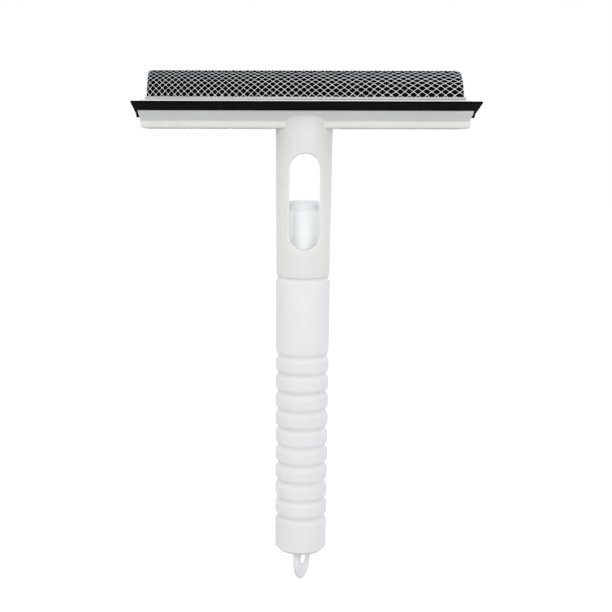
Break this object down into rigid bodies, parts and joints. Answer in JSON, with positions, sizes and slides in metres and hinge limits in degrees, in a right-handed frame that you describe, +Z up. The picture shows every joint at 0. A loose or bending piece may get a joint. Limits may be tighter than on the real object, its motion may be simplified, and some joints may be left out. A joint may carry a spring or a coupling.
{
  "type": "window squeegee",
  "caption": "Window squeegee with a rubber blade, a net-covered sponge roll and a screw-on spray bottle as its handle.",
  "frame": {"origin": "on the handle axis, at the lowest point of the hanging loop", "axes": "+Z up along the handle with the head on top, +X along the blade, -Y towards the rubber blade and +Y towards the back of the sponge"},
  "size_m": [0.2092, 0.0557, 0.3303],
  "materials": {
    "white_abs": "semi-gloss injection moulding",
    "white_polyethylene": "satin blow moulding",
    "white_pump_plastic": "satin injection moulding",
    "frosted_polypropylene": "frosted, translucent",
    "black_rubber": "satin extruded rubber",
    "black_foam": "open-cell foam",
    "white_net": "knotted synthetic yarn",
    "stainless_steel": "bright drawn wire",
    "grey_seal": "soft seal"
  },
  "bodies": {
    "head": {"head_frame": "white_abs", "blade_rubber": "black_rubber", "sponge_plate": "white_abs", "sponge": "black_foam", "sponge_net": "white_net"},
    "bottle": {"grip_bottle": "white_polyethylene"},
    "sprayer": {"sprayer_collar": "white_pump_plastic", "neck_gasket": "grey_seal", "pump_housing": "white_pump_plastic", "inlet_ball": "stainless_steel", "pump_spring": "stainless_steel", "housing_ring": "white_pump_plastic", "dip_tube": "frosted_polypropylene"},
    "button": {"actuator": "white_pump_plastic", "nozzle_insert": "white_pump_plastic", "pump_stem": "white_pump_plastic", "pump_piston": "grey_seal"},
    "cap": {"overcap": "frosted_polypropylene"}
  },
  "joints": [
    {"name": "bottle_unscrew", "type": "hinge", "parent": "head", "child": "bottle", "pos_m": [0, 0, 0.2], "axis": [0, 0, -1], "range_deg": [0, 540]},
    {"name": "collar_unscrew", "type": "hinge", "parent": "bottle", "child": "sprayer", "pos_m": [0, 0, 0.21], "axis": [0, 0, 1], "range_deg": [0, 540]},
    {"name": "button_press", "type": "slide", "parent": "sprayer", "child": "button", "axis": [0, 0, -1], "range_m": [0, 0.0045], "stiffness_N_per_m": 1500, "deforming": ["pump_spring"]},
    {"name": "cap_pull", "type": "slide", "parent": "sprayer", "child": "cap", "axis": [0, 0, 1], "range_m": [0, 0.027]}
  ]
}
